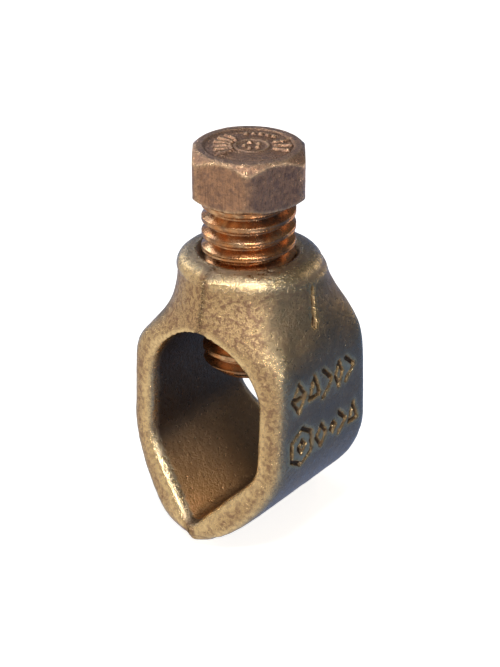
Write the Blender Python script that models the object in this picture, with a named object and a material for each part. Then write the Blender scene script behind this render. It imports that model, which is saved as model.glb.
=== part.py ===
"""Ground rod clamp: a cast bronze body with a pointed opening, and the hexagon bolt that screws down into it.

The rod and its wire lie in the V at the bottom of the opening, along Y. The bolt comes down the Z axis through
the threaded collar and presses them into the V. The origin is under the bolt's axis, at the body's lowest point.
"""
import math

import bmesh
import bpy
from mathutils import Vector

# Driving dimensions, in metres.
INCH = 0.0254

# Body casting.
BODY_HEIGHT = 0.0296            # lowest point to the collar's mouth
HALF_WIDTH = 0.0098             # X, at the flat sides
HALF_DEPTH = 0.0102             # Y, at the parting line, at the body's middle height
MIDDLE_HEIGHT = 0.0126
FACE_SLOPE = 0.272              # the front and back fall away from the parting line by this much per unit of X
FACE_LEAN = 0.054               # and lean out by this much per unit of height, towards the bottom
EDGE_POWER = 16                 # sharpness of the outer corners: higher is sharper
FOOT_SCALE = 0.10               # the bottom edge's width, as a share of the body's width
FOOT_RADIUS = 0.0022            # rounding of the front and back faces into the bottom edge
WALL_END = 0.0109               # height where the flat sides turn into the rounded bottom
BOTTOM_POWER = 1.65             # the bottom's outline: 1 is a straight V, 2 is an ellipse
FLAT_WITHIN = 0.00002           # points this near to a flat side lie on it

# Collar and neck.
COLLAR_RADIUS = 0.00748
COLLAR_EDGE = 0.0006
NECK_START = 0.0280             # below this the collar flares out
NECK_GROWTH = 0.0064            # the flare's extra radius NECK_REACH below its start
NECK_REACH = 0.010
NECK_POWER = 1.8
NECK_END = 0.0170

# Opening for the rod.
OPENING_HALF_WIDTH = 0.0067
ROOF_HEIGHT = 0.0233            # highest point of the arch
ARCH_START = 0.0165
ARCH_POWER = 1.72               # 2 is a round arch, lower is more pointed
SEAT_START = 0.00884            # height where the V begins
SEAT_TIP = 0.0016               # height where its two flanks would meet
ROOT_RADIUS = 0.0010
SHOULDER_RADIUS = 0.0015
RIM_RADIUS = 0.0013             # rounding between the opening and the front and back faces

# Bolt: 3/8 inch, 16 threads to the inch, fully threaded, 3/4 inch long under the head.
THREAD_RADIUS = 0.375 * INCH / 2
PITCH = INCH / 16
BOLT_LENGTH = 0.75 * INCH
THREAD_DEPTH = 0.575 * PITCH
CREST_WIDTH = 0.125 * PITCH
FLANK_TANGENT = math.tan(math.radians(30))
THREAD_PHASE = 0.33 * PITCH     # height of a crest's middle above a whole number of pitches, at +X
THREAD_CLEARANCE = 0.00013
HEAD_FLATS = 0.4375 * INCH
HEAD_HEIGHT = 0.0051
HEAD_TOP_RADIUS = 0.00535
HEAD_SEAT_RADIUS = 0.0056
TOP_CHAMFER = math.radians(46)
SEAT_CHAMFER = math.radians(38)
HEAD_CORNER = 0.0006
HEAD_MARGIN = 0.0002            # the turned envelope stands clear of the hexagon's corners by this
HEAD_TURN = -53.0               # degrees: one corner of the head points here, between +X and -Y
HEAD_LIFT = 0.00614             # gap between the head and the collar as the clamp is stored
POINT_CHAMFER = 0.0009
POINT_TAPER = 0.0005            # how much narrower the bolt's end face is than its root
POINT_LENGTH = 0.0012           # the bolt's plain end, which doesn't turn in the model
GAP = 0.0003                    # kept between separate solids that would touch
MOUTH_RADIUS = 0.0052           # chamfered mouth of the collar
TAP_END = 0.0185                # lowest reach of the tap, inside the arch
OVERSHOOT = 0.001               # how far a cutter stands out of what it cuts
SKIM = 0.00005                  # keeps two tools' flat faces from lying in one plane

# Fineness of the faceted solids.
PLAN_STEPS = 56
NECK_RINGS = 12
BOTTOM_RINGS = 11
ARCH_STEPS = 9
RIM_STEPS = 3
SHOULDER_STEPS = 3
ROOT_STEPS = 4
HEAD_CORNER_STEPS = 3
THREAD_STEPS = 28
ROUND_STEPS = 40

HEAD_BOTTOM = BODY_HEIGHT + HEAD_LIFT
BOLT_TIP = HEAD_BOTTOM - BOLT_LENGTH


def clear_scene():
    for item in list(bpy.data.objects):
        bpy.data.objects.remove(item, do_unlink=True)


def metal(name, colour, roughness):
    finish = bpy.data.materials.new(name)
    finish.use_nodes = True
    shader = finish.node_tree.nodes["Principled BSDF"]
    shader.inputs["Base Color"].default_value = (*colour, 1.0)
    shader.inputs["Roughness"].default_value = roughness
    shader.inputs["Metallic"].default_value = 1.0
    return finish


def add_object(name, bm, finish=None, origin=(0.0, 0.0, 0.0)):
    """Close the bmesh into an object whose origin is at the point given."""
    bmesh.ops.recalc_face_normals(bm, faces=bm.faces[:])
    bmesh.ops.translate(bm, verts=bm.verts[:], vec=-Vector(origin))
    mesh = bpy.data.meshes.new(name)
    bm.to_mesh(mesh)
    bm.free()
    item = bpy.data.objects.new(name, mesh)
    item.location = origin
    bpy.context.collection.objects.link(item)
    if finish:
        mesh.materials.append(finish)
        mesh.shade_smooth()
        mesh.set_sharp_from_angle(angle=math.radians(35))
    else:
        item.hide_render = True
        item.display_type = "WIRE"
    return item


def combine(target, tool, operation):
    """Cut, join or keep the overlap of a solid with a guide solid."""
    step = target.modifiers.new(f"{operation.lower()} {tool.name}", "BOOLEAN")
    step.operation = operation
    step.object = tool
    step.solver = "EXACT"


def spun(profile, steps, axis=(0.0, 0.0, 1.0)):
    """Turn a chain of points, from the axis round to the axis, into a closed solid of revolution."""
    bm = bmesh.new()
    verts = [bm.verts.new(point) for point in profile]
    edges = [bm.edges.new(pair) for pair in zip(verts, verts[1:])]
    bmesh.ops.spin(
        bm, geom=verts + edges, cent=(0, 0, 0), axis=axis, angle=2 * math.pi, steps=steps, use_merge=True
    )
    bmesh.ops.remove_doubles(bm, verts=bm.verts[:], dist=1e-6)
    return bm


def turned(points, steps=ROUND_STEPS):
    """A solid of revolution about Z from (radius, height) points."""
    return spun([(radius, 0.0, height) for radius, height in points], steps)


# ---------------------------------------------------------------- body

def face_depth(x, z):
    """Half depth of the body at a place on its front: a shallow ridge that stands on the parting line."""
    return HALF_DEPTH - FACE_SLOPE * abs(x) - FACE_LEAN * (z - MIDDLE_HEIGHT)


def neck_radius(z):
    return COLLAR_RADIUS + NECK_GROWTH * (max(NECK_START - z, 0.0) / NECK_REACH) ** NECK_POWER


def body_half_width(z):
    """Half width of the front outline: straight sides, then a rounded point at the bottom."""
    drop = min(max((WALL_END - z) / WALL_END, 0.0), 1.0)
    return HALF_WIDTH * max((1 - drop ** BOTTOM_POWER) ** (1 / BOTTOM_POWER), FOOT_SCALE)


def plan_point(turn, z):
    """Point on the body's outline as seen from above, at one height.

    It is the space shared by the two flat sides, the four sloping faces and the round neck, with soft corners.
    """
    width = body_half_width(z)
    curl = max(FOOT_RADIUS - z, 0.0)
    depth = face_depth(0.0, z) - FOOT_RADIUS + math.sqrt(FOOT_RADIUS ** 2 - curl ** 2)
    x = width * math.cos(turn)
    y = depth * math.sin(turn)
    side = abs(math.cos(turn))
    front = abs(math.sin(turn)) + FACE_SLOPE * abs(x) / depth
    neck = math.hypot(x, y) / neck_radius(z)
    reach = sum(limit ** EDGE_POWER for limit in (side, front, neck)) ** (-1 / EDGE_POWER)
    x, y = x * reach, y * reach
    if width - abs(x) < FLAT_WITHIN:
        x = math.copysign(width, x)
    return Vector((x, y, z))


def body_levels():
    """Heights of the rings that make the body's outside, from the collar down."""
    levels = [BODY_HEIGHT - COLLAR_EDGE]
    for i in range(NECK_RINGS + 1):
        levels.append(NECK_START + (NECK_END - NECK_START) * i / NECK_RINGS)
    for i in range(BOTTOM_RINGS + 1):
        levels.append(WALL_END * math.cos(math.pi / 2 * i / BOTTOM_RINGS))
    return levels


def body_blank():
    """The casting's outside: a turned blank, pressed ring by ring to the plan outline."""
    mouth_ring = COLLAR_RADIUS - COLLAR_EDGE
    levels = body_levels()
    profile = [(0.0, BODY_HEIGHT), (mouth_ring, BODY_HEIGHT)]
    profile += [(COLLAR_RADIUS, z) for z in levels]
    profile.append((0.0, levels[-1]))
    bm = turned(profile, PLAN_STEPS)
    for vert in bm.verts:
        if vert.co.xy.length > mouth_ring + COLLAR_EDGE / 2:
            vert.co = plan_point(math.atan2(vert.co.y, vert.co.x), vert.co.z)
    return bm


def fillet(corner, before, after, radius, steps):
    """Points of the arc that rounds a corner between two neighbours, all as (x, z)."""
    corner = Vector(corner)
    towards = (Vector(before) - corner).normalized()
    away = (Vector(after) - corner).normalized()
    half = towards.angle(away) / 2
    centre = corner + (towards + away).normalized() * radius / math.sin(half)
    start = corner + towards * radius / math.tan(half) - centre
    end = corner + away * radius / math.tan(half) - centre
    points = []
    for i in range(steps + 1):
        blend = start.lerp(end, i / steps).normalized() * radius
        points.append(tuple(centre + blend))
    return points


def opening_outline():
    """Outline of the opening as (x, z), all the way round: an arch, two walls and a V with a rounded root."""
    rise = ROOF_HEIGHT - ARCH_START
    right = []
    for i in range(ARCH_STEPS + 1):
        angle = math.pi / 2 * i / ARCH_STEPS
        x = OPENING_HALF_WIDTH * math.sin(angle) ** (2 / ARCH_POWER)
        z = ARCH_START + rise * max(math.cos(angle), 0.0) ** (2 / ARCH_POWER)
        right.append((x, z))
    wall_foot = (OPENING_HALF_WIDTH, SEAT_START)
    tip = (0.0, SEAT_TIP)
    right += fillet(wall_foot, (OPENING_HALF_WIDTH, ARCH_START), tip, SHOULDER_RADIUS, SHOULDER_STEPS)
    root = fillet(tip, wall_foot, (-OPENING_HALF_WIDTH, SEAT_START), ROOT_RADIUS, ROOT_STEPS)
    right += root[:ROOT_STEPS // 2 + 1]
    left = [(-x, z) for x, z in reversed(right[1:-1])]
    return right + left


def outline_normals(outline):
    """Outward normal at each point of a closed outline that runs clockwise, as (x, z)."""
    count = len(outline)
    normals = []
    for i in range(count):
        run = Vector(outline[(i + 1) % count]) - Vector(outline[i - 1])
        normals.append(Vector((-run.y, run.x)).normalized())
    return normals


def opening_rings():
    """Stations of the opening's cutter from front to back, as (side, inset from the face, flare)."""
    half = [(-OVERSHOOT, RIM_RADIUS)]
    for i in range(RIM_STEPS + 1):
        angle = math.pi / 2 * i / RIM_STEPS
        half.append((RIM_RADIUS * (1 - math.cos(angle)), RIM_RADIUS * (1 - math.sin(angle))))
    front = [(-1, inset, flare) for inset, flare in half]
    back = [(1, inset, flare) for inset, flare in reversed(half)]
    return front + back


def opening_tool():
    """Cutter for the opening: its outline extruded along Y, flared where it leaves the front and back faces."""
    outline = opening_outline()
    normals = outline_normals(outline)
    bm = bmesh.new()
    bmesh.ops.create_circle(bm, cap_ends=True, segments=len(outline), radius=1.0)
    station = bm.verts.layers.int.new("station")
    for number, vert in enumerate(bm.verts):
        vert[station] = number
    end = bm.faces[:][0]
    for ring, (side, inset, flare) in enumerate(opening_rings()):
        if ring > 0:
            made = bmesh.ops.extrude_face_region(bm, geom=[end])["geom"]
            if ring > 1:
                bmesh.ops.delete(bm, geom=[end], context="FACES_ONLY")
            end = next(item for item in made if isinstance(item, bmesh.types.BMFace))
        for vert in end.verts:
            place = Vector(outline[vert[station]]) + normals[vert[station]] * flare
            vert.co = Vector((place.x, side * (face_depth(place.x, place.y) - inset), place.y))
    return bm


def thread_rod(crest_radius, root_radius, crest_width, top, bottom, steps):
    """A threaded rod with flat ends: one pitch of the profile carried up a right-hand helix about Z."""
    flank = (crest_radius - root_radius) * FLANK_TANGENT
    turns = math.ceil((top - bottom) / PITCH) + 4
    start = (math.floor(bottom / PITCH) - 2) * PITCH + THREAD_PHASE
    half = crest_width / 2
    section = [
        (root_radius, -PITCH / 2),
        (root_radius, -half - flank),
        (crest_radius, -half),
        (crest_radius, half),
        (root_radius, half + flank),
        (root_radius, PITCH / 2),
    ]
    bm = bmesh.new()
    verts = [bm.verts.new((radius, 0.0, start + height)) for radius, height in section]
    edges = [bm.edges.new(pair) for pair in zip(verts, verts[1:])]
    bmesh.ops.spin(
        bm, geom=verts + edges, cent=(0, 0, 0), axis=(0, 0, 1), dvec=(0, 0, PITCH / steps),
        angle=2 * math.pi * turns, steps=steps * turns,
    )
    bmesh.ops.remove_doubles(bm, verts=bm.verts[:], dist=2e-6)
    bmesh.ops.triangulate(bm, faces=bm.faces[:])
    for height, normal in ((top, 1.0), (bottom, -1.0)):
        geometry = bm.verts[:] + bm.edges[:] + bm.faces[:]
        bmesh.ops.bisect_plane(
            bm, geom=geometry, dist=1e-7, plane_co=(0, 0, height), plane_no=(0, 0, normal), clear_outer=True
        )
        rim = [edge for edge in bm.edges if edge.is_boundary and abs(edge.verts[0].co.z - height) < 1e-6]
        bmesh.ops.contextual_create(bm, geom=rim)
    return bm


def make_body(finish):
    body = add_object("clamp_body", body_blank(), finish)
    combine(body, add_object("opening_tool", opening_tool()), "DIFFERENCE")
    nut_crest = THREAD_RADIUS + THREAD_CLEARANCE
    nut_root = THREAD_RADIUS - THREAD_DEPTH + THREAD_CLEARANCE
    nut_width = CREST_WIDTH + 2 * THREAD_CLEARANCE
    top = BODY_HEIGHT + OVERSHOOT
    tap = thread_rod(nut_crest, nut_root, nut_width, top, TAP_END, THREAD_STEPS)
    combine(body, add_object("thread_tool", tap), "DIFFERENCE")
    rim = MOUTH_RADIUS - nut_root
    mouth = turned([
        (0.0, top),
        (MOUTH_RADIUS + OVERSHOOT, top),
        (nut_root, BODY_HEIGHT - rim),
        (0.0, BODY_HEIGHT - rim),
    ])
    combine(body, add_object("mouth_tool", mouth), "DIFFERENCE")
    return body


# ---------------------------------------------------------------- bolt

def head_blank():
    """Hexagonal prism with softly rounded corners."""
    bm = bmesh.new()
    corner_radius = HEAD_FLATS / 2 / math.cos(math.pi / 6)
    bmesh.ops.create_cone(
        bm, cap_ends=True, segments=6, radius1=corner_radius, radius2=corner_radius, depth=HEAD_HEIGHT
    )
    bmesh.ops.translate(bm, verts=bm.verts[:], vec=(0, 0, HEAD_BOTTOM + HEAD_HEIGHT / 2))
    first = bm.verts[:][0].co
    turn = math.radians(HEAD_TURN) - math.atan2(first.y, first.x)
    for vert in bm.verts:
        angle = math.atan2(vert.co.y, vert.co.x) + turn
        vert.co = Vector((corner_radius * math.cos(angle), corner_radius * math.sin(angle), vert.co.z))
    bm.normal_update()
    upright = [edge for edge in bm.edges if abs(edge.verts[0].co.z - edge.verts[1].co.z) > HEAD_HEIGHT / 2]
    bmesh.ops.bevel(
        bm, geom=upright, offset=HEAD_CORNER, affect="EDGES", segments=HEAD_CORNER_STEPS, profile=0.5,
        material=-1
    )
    return bm


def head_envelope():
    """The turned shape that chamfers the head's top and rounds its underside."""
    reach = HEAD_FLATS / 2 / math.cos(math.pi / 6) + HEAD_MARGIN
    top = HEAD_BOTTOM + HEAD_HEIGHT
    fall = (reach - HEAD_TOP_RADIUS) * math.tan(TOP_CHAMFER)
    lift = (reach - HEAD_SEAT_RADIUS) * math.tan(SEAT_CHAMFER)
    return turned([
        (0.0, top + SKIM),
        (HEAD_TOP_RADIUS, top + SKIM),
        (reach, top - fall),
        (reach, HEAD_BOTTOM + lift),
        (HEAD_SEAT_RADIUS, HEAD_BOTTOM - SKIM),
        (0.0, HEAD_BOTTOM - SKIM),
    ])


def make_bolt(finish):
    """The turning bolt: threaded shank with its head, cut off square above the plain point."""
    shank_end = BOLT_TIP + POINT_LENGTH + GAP
    root_radius = THREAD_RADIUS - THREAD_DEPTH
    shank = thread_rod(THREAD_RADIUS, root_radius, CREST_WIDTH, HEAD_BOTTOM + GAP, shank_end, THREAD_STEPS)
    bolt = add_object("hex_bolt", shank, finish)
    head = add_object("head_guide", head_blank())
    combine(head, add_object("head_envelope", head_envelope()), "INTERSECT")
    combine(bolt, head, "UNION")
    return bolt


def make_point(finish):
    """The bolt's plain chamfered end, a separate solid because it moves down without turning."""
    root_radius = THREAD_RADIUS - THREAD_DEPTH
    bm = turned([
        (0.0, BOLT_TIP + POINT_LENGTH),
        (root_radius, BOLT_TIP + POINT_LENGTH),
        (root_radius, BOLT_TIP + POINT_CHAMFER),
        (root_radius - POINT_TAPER, BOLT_TIP),
        (0.0, BOLT_TIP),
    ])
    return add_object("bolt_point", bm, finish)


def main():
    clear_scene()
    bronze = metal("cast_bronze", (0.42, 0.30, 0.13), 0.42)
    copper_bronze = metal("bolt_bronze", (0.40, 0.21, 0.11), 0.36)
    make_body(bronze)
    make_bolt(copper_bronze)
    make_point(copper_bronze)


main()
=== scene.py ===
# %% [markdown]
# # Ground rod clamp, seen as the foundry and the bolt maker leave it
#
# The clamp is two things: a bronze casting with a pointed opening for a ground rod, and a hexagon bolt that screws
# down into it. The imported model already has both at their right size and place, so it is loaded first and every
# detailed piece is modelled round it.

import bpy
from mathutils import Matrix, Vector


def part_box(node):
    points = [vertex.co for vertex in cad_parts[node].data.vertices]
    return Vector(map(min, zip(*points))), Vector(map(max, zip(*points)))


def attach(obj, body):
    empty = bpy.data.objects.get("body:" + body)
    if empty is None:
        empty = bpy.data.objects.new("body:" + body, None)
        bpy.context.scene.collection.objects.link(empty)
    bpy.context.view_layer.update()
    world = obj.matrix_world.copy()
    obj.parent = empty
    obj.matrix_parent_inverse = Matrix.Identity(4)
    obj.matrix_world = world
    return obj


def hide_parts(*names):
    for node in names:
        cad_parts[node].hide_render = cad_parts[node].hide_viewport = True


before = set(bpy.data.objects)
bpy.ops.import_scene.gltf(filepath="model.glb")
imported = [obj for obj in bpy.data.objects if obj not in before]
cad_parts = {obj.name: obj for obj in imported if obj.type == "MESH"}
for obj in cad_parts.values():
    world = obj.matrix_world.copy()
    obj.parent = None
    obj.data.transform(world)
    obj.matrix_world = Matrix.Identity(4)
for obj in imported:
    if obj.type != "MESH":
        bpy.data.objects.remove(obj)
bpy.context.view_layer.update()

# %% What the frame says
import math

import bmesh
import bpy
import numpy as np
from mathutils import Matrix, Vector, noise

MM = 0.001
_, body_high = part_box("clamp_body")
_, bolt_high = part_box("hex_bolt")
point_low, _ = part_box("bolt_point")
BODY_HEIGHT = body_high.z
HALF_WIDTH = body_high.x
HEAD_TOP = bolt_high.z
BOLT_TIP = point_low.z
print(f"body {2 * HALF_WIDTH / MM:.1f} mm wide, {BODY_HEIGHT / MM:.1f} mm high, bolt tip at {BOLT_TIP / MM:.2f} mm")

# %% [markdown]
# ## Camera
#
# A small object looks small when it is seen from close by with a long lens, from a little above. The camera is put
# on a sphere round a point on the clamp's axis: an azimuth, an elevation and a distance say where it stands, and it
# is turned to look back along the same line.

# %% Camera
CAMERA_AZIMUTH = math.radians(37.056)
CAMERA_ELEVATION = math.radians(27.124)
CAMERA_DISTANCE = 195.03 * MM
CLIP_START = 10 * MM
FOCAL_RATIO = 1889.1 / 667                # focal length over the frame's long side
SENSOR = 36.0
AIM = Vector((0.10, 0.07, 20.0)) * MM


def direction(azimuth, elevation):
    """Unit vector towards a place on the sphere: azimuth 0 is in front (-Y), 90 degrees is at +X."""
    flat = math.cos(elevation)
    return Vector((math.sin(azimuth) * flat, -math.cos(azimuth) * flat, math.sin(elevation)))


def look_along(item, towards):
    item.rotation_euler = towards.to_track_quat("-Z", "Y").to_euler()


camera_data = bpy.data.cameras.new("camera")
camera_data.sensor_width = SENSOR
camera_data.lens = FOCAL_RATIO * SENSOR
camera_data.clip_start = CLIP_START
camera = bpy.data.objects.new("camera", camera_data)
bpy.context.collection.objects.link(camera)
back = direction(CAMERA_AZIMUTH, CAMERA_ELEVATION)
camera.location = AIM + back * CAMERA_DISTANCE
look_along(camera, -back)
bpy.context.scene.camera = camera
print(f"lens {camera_data.lens:.1f} mm, camera {camera.location.z / MM:.0f} mm up")

# %% [markdown]
# ## Light and floor
#
# Bare metal shows little of its own: it mirrors what stands round it, so the light has to be designed as a room. The
# room here is a soft gradient, warm and bright at the front left and dim and bluish at the back right, so that two
# neighbouring faces of the clamp never look the same. Softboxes add the highlights: a tall strip beside the camera
# for the corners, one overhead for the collar, one from the left for the rims, and a faint one from behind. A small
# warm card close behind the clamp lights the inside of the opening.

# %% Softboxes
def softbox(name, azimuth, elevation, distance, width, height, power, colour):
    light = bpy.data.lights.new(name, "AREA")
    light.shape = "RECTANGLE"
    light.size = width
    light.size_y = height
    light.energy = power
    light.color = colour
    item = bpy.data.objects.new(name, light)
    bpy.context.collection.objects.link(item)
    towards = direction(math.radians(azimuth), math.radians(elevation))
    item.location = AIM + towards * distance
    look_along(item, -towards)


WARM = (1.0, 0.94, 0.84)
COOL = (0.72, 0.84, 1.0)
AMBER = (1.0, 0.80, 0.58)
# Name, azimuth and elevation in degrees, distance, width and height in metres, power in watts, colour.
SOFTBOXES = (
    ("strip_light", 52, 26, 0.32, 0.018, 0.08, 0.32, WARM),
    ("overhead_light", 24, 64, 0.30, 0.06, 0.06, 0.48, WARM),
    ("left_light", -95, 30, 0.30, 0.08, 0.12, 0.15, WARM),
    ("back_light", 235, 40, 0.32, 0.05, 0.08, 0.06, COOL),
    ("card_behind", 154, 19, 0.036, 0.014, 0.010, 0.0012, AMBER),
)
for settings in SOFTBOXES:
    softbox(*settings)


# %% The room's gradient
def node(tree, kind, **settings):
    made = tree.nodes.new(kind)
    for name, value in settings.items():
        setattr(made, name, value)
    return made


def link(tree, source, target):
    tree.links.new(source, target)


def layer(tree, factor, under, over):
    """Lay one colour over another; each may be a colour or a socket."""
    made = node(tree, "ShaderNodeMix", data_type="RGBA")
    link(tree, factor, made.inputs["Factor"])
    for socket, colour in (("A", under), ("B", over)):
        if isinstance(colour, tuple):
            made.inputs[socket].default_value = (*colour, 1.0)
        else:
            link(tree, colour, made.inputs[socket])
    return made.outputs["Result"]


world = bpy.data.worlds.new("studio")
world.use_nodes = True
bpy.context.scene.world = world
room = world.node_tree
room.nodes.clear()
where = node(room, "ShaderNodeTexCoord")


def lobe(azimuth, elevation, start, full):
    """Socket that rises from 0 to 1 as the view into the room turns towards one direction."""
    facing = node(room, "ShaderNodeVectorMath", operation="DOT_PRODUCT")
    facing.inputs[1].default_value = direction(math.radians(azimuth), math.radians(elevation))
    link(room, where.outputs["Generated"], facing.inputs[0])
    span = node(room, "ShaderNodeMapRange", interpolation_type="SMOOTHSTEP")
    span.inputs["From Min"].default_value = start
    span.inputs["From Max"].default_value = full
    link(room, facing.outputs["Value"], span.inputs["Value"])
    return span.outputs["Result"]


ROOM_LOW = (0.13, 0.19, 0.32)
ROOM_HIGH = (0.13, 0.115, 0.095)
ROOM_BRIGHT = (0.80, 0.69, 0.55)
ROOM_BEHIND = (0.24, 0.36, 0.66)
tone = layer(room, lobe(143, 90, -0.45, 0.25), ROOM_LOW, ROOM_HIGH)
tone = layer(room, lobe(-40, -32, -0.35, 0.98), tone, ROOM_BRIGHT)
tone = layer(room, lobe(217, -25, 0.70, 0.98), tone, ROOM_BEHIND)
light_out = node(room, "ShaderNodeBackground")
link(room, tone, light_out.inputs["Color"])
room_out = node(room, "ShaderNodeOutputWorld")
link(room, light_out.outputs["Background"], room_out.inputs["Surface"])
bpy.context.scene.view_settings.view_transform = "Standard"
print("room from", ROOM_LOW, "to", ROOM_BRIGHT)


# %% [markdown]
# The floor is a pale sweep with a little light of its own. It is kept out of the metal's reflections, as a product
# table under a light tent is, so the undersides keep their depth.

# %% Floor
def principled(name, colour, roughness, metallic=0.0):
    """A new material and its Principled BSDF."""
    material = bpy.data.materials.new(name)
    material.use_nodes = True
    shader = material.node_tree.nodes["Principled BSDF"]
    shader.inputs["Base Color"].default_value = (*colour, 1.0)
    shader.inputs["Roughness"].default_value = roughness
    shader.inputs["Metallic"].default_value = metallic
    return material, shader


FLOOR_SIZE = 3.0
FLOOR_DROP = 0.50 * MM                    # the parting line stands this far below the casting's foot
FLOOR_TONE = (0.86, 0.86, 0.87)
FLOOR_ROUGHNESS = 0.8
FLOOR_GLOW = 0.74
bm = bmesh.new()
bmesh.ops.create_grid(bm, x_segments=2, y_segments=2, size=FLOOR_SIZE / 2)
bmesh.ops.translate(bm, verts=bm.verts[:], vec=(0, 0, -FLOOR_DROP))
floor_mesh = bpy.data.meshes.new("floor")
bm.to_mesh(floor_mesh)
bm.free()
floor = bpy.data.objects.new("floor", floor_mesh)
bpy.context.collection.objects.link(floor)
pale, pale_shader = principled("pale_floor", FLOOR_TONE, FLOOR_ROUGHNESS)
pale_shader.inputs["Emission Color"].default_value = (1.0, 1.0, 1.0, 1.0)
pale_shader.inputs["Emission Strength"].default_value = FLOOR_GLOW
floor_mesh.materials.append(pale)
floor.visible_glossy = False
print(f"floor {FLOOR_SIZE:.0f} m across")


# %% [markdown]
# ## Tools of the bench
#
# The same helpers serve every piece. One turns a chain of points round the axis, as a lathe does. One puts a bmesh on
# the bench as an object. One cuts or joins solids with the exact solver, and one gives them a soft skin. Both settle
# the piece at once, which applies its modifiers, so that the next step works on the finished surface. The last few
# read and move a mesh's points as rows of numbers.

# %% Lathe, bench and knife
WELD = 0.001 * MM


def turned(points, steps=96):
    """Turn a chain of (radius, height) points, from the axis round to the axis, into a closed solid about Z."""
    bm = bmesh.new()
    verts = [bm.verts.new((radius, 0.0, height)) for radius, height in points]
    edges = [bm.edges.new(pair) for pair in zip(verts, verts[1:])]
    bmesh.ops.spin(
        bm, geom=verts + edges, cent=(0, 0, 0), axis=(0, 0, 1), angle=2 * math.pi, steps=steps, use_merge=True
    )
    bmesh.ops.remove_doubles(bm, verts=bm.verts[:], dist=WELD)
    return bm


def on_bench(name, bm):
    bmesh.ops.recalc_face_normals(bm, faces=bm.faces[:])
    mesh = bpy.data.meshes.new(name)
    bm.to_mesh(mesh)
    bm.free()
    item = bpy.data.objects.new(name, mesh)
    bpy.context.collection.objects.link(item)
    return item


def settle(item):
    """Apply every modifier of a piece."""
    bpy.context.view_layer.update()
    finished = item.evaluated_get(bpy.context.evaluated_depsgraph_get())
    mesh = bpy.data.meshes.new_from_object(finished)
    item.modifiers.clear()
    old = item.data
    item.data = mesh
    bpy.data.meshes.remove(old)
    mesh.name = item.name


def combine(item, tool, operation):
    """Cut, join or keep the overlap of a piece with a tool, which is used up."""
    step = item.modifiers.new(operation, "BOOLEAN")
    step.operation = operation
    step.object = tool
    step.solver = "EXACT"
    settle(item)
    bpy.data.objects.remove(tool)


def cast_skin(item, voxel, passes):
    """Give a sharp solid the soft, even skin of a casting or a forging."""
    skin = item.modifiers.new("skin", "REMESH")
    skin.mode = "VOXEL"
    skin.voxel_size = voxel
    soften = item.modifiers.new("soften", "SMOOTH")
    soften.factor = 0.5
    soften.iterations = passes
    settle(item)


def point_rows(mesh, what):
    rows = np.empty(len(mesh.vertices) * 3)
    mesh.vertices.foreach_get(what, rows)
    return rows.reshape(-1, 3)


def places(mesh):
    return point_rows(mesh, "co")


def normals(mesh):
    return point_rows(mesh, "normal")


def set_places(mesh, co):
    mesh.vertices.foreach_set("co", np.ascontiguousarray(co).ravel())
    mesh.update()


def ease(x):
    """Smooth step from 0 to 1."""
    x = np.clip(x, 0.0, 1.0)
    return x * x * (3 - 2 * x)


print("bench ready")

# %% [markdown]
# ## The casting's outside
#
# The body is cast in a two-part mould that meets at X = 0. Seen from above it is the space shared by two flat
# sides, four faces that slope away from the parting line, and the round neck under the collar. It could be boxes and
# cylinders joined together, but then every meeting edge would be a hard line. Instead one turned blank is pressed,
# ring by ring, to that shared outline, whose corners are soft by its own formula.

# %% Driving sizes of the casting
HALF_DEPTH = 10.2 * MM                    # on the parting line, at the middle height
MIDDLE_HEIGHT = 12.6 * MM
FACE_SLOPE = 0.272                        # how fast the front falls back to either side
FACE_LEAN = 0.054                         # and upwards
EDGE_POWER = 20                           # the higher, the sharper the upright corners
FOOT_SCALE = 0.10
FOOT_RADIUS = 2.2 * MM
WALL_END = 10.9 * MM                      # the side walls stand upright above this height
BOTTOM_POWER = 1.65
COLLAR_RADIUS = 7.48 * MM
COLLAR_FALL = 1.45 * MM                   # drop of the collar's rounded top
COLLAR_FLAT = 5.7 * MM                    # radius where that rounding starts
NECK_START = 28.0 * MM
NECK_GROWTH = 6.4 * MM
NECK_REACH = 10.0 * MM
NECK_POWER = 1.8
NECK_END = 17.0 * MM
BLEND_POWER = 12                          # the higher, the tighter the neck meets the faces
CORNER_NECK = 0.60                        # the flare reaches further towards the body's four corners
CORNER_POWER = 6
HOLLOW_SIDE = math.radians(-143)          # the neck is hollower on this side, where its mould half was dressed
HOLLOW_COLLAR = 0.18 * MM
HOLLOW_NECK = 0.62
HOLLOW_LOW = 17.0 * MM
HOLLOW_FULL = 24.5 * MM
FULL_COLLAR = 0.20 * MM                   # and fuller on the side across from it
FULL_NECK = 0.32 * MM
FULL_HEIGHT = 24.8 * MM
FULL_REACH = 4.4 * MM


# %% Outline at one height
def face_depth(x, z):
    """Half depth of the body at one place or at many: the front is a shallow ridge on the parting line."""
    return HALF_DEPTH - FACE_SLOPE * abs(x) - FACE_LEAN * (z - MIDDLE_HEIGHT)


def neck_radius(z, turn):
    """Radius of the round neck and collar, which is not the same on every side."""
    flare = NECK_GROWTH * (max(NECK_START - z, 0.0) / NECK_REACH) ** NECK_POWER
    rise = min(max((z - HOLLOW_LOW) / (HOLLOW_FULL - HOLLOW_LOW), 0.0), 1.0)
    facing = math.cos(turn - HOLLOW_SIDE)
    hollow = max(facing, 0.0) ** 2 * rise
    full = max(-facing, 0.0) ** 2
    bulge = max(1 - ((z - FULL_HEIGHT) / FULL_REACH) ** 2, 0.0)
    radius = COLLAR_RADIUS - HOLLOW_COLLAR * hollow + full * (FULL_COLLAR + FULL_NECK * bulge)
    corner = 1 + CORNER_NECK * abs(math.sin(2 * turn)) ** CORNER_POWER
    return radius + flare * corner * (1 - HOLLOW_NECK * hollow)


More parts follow.
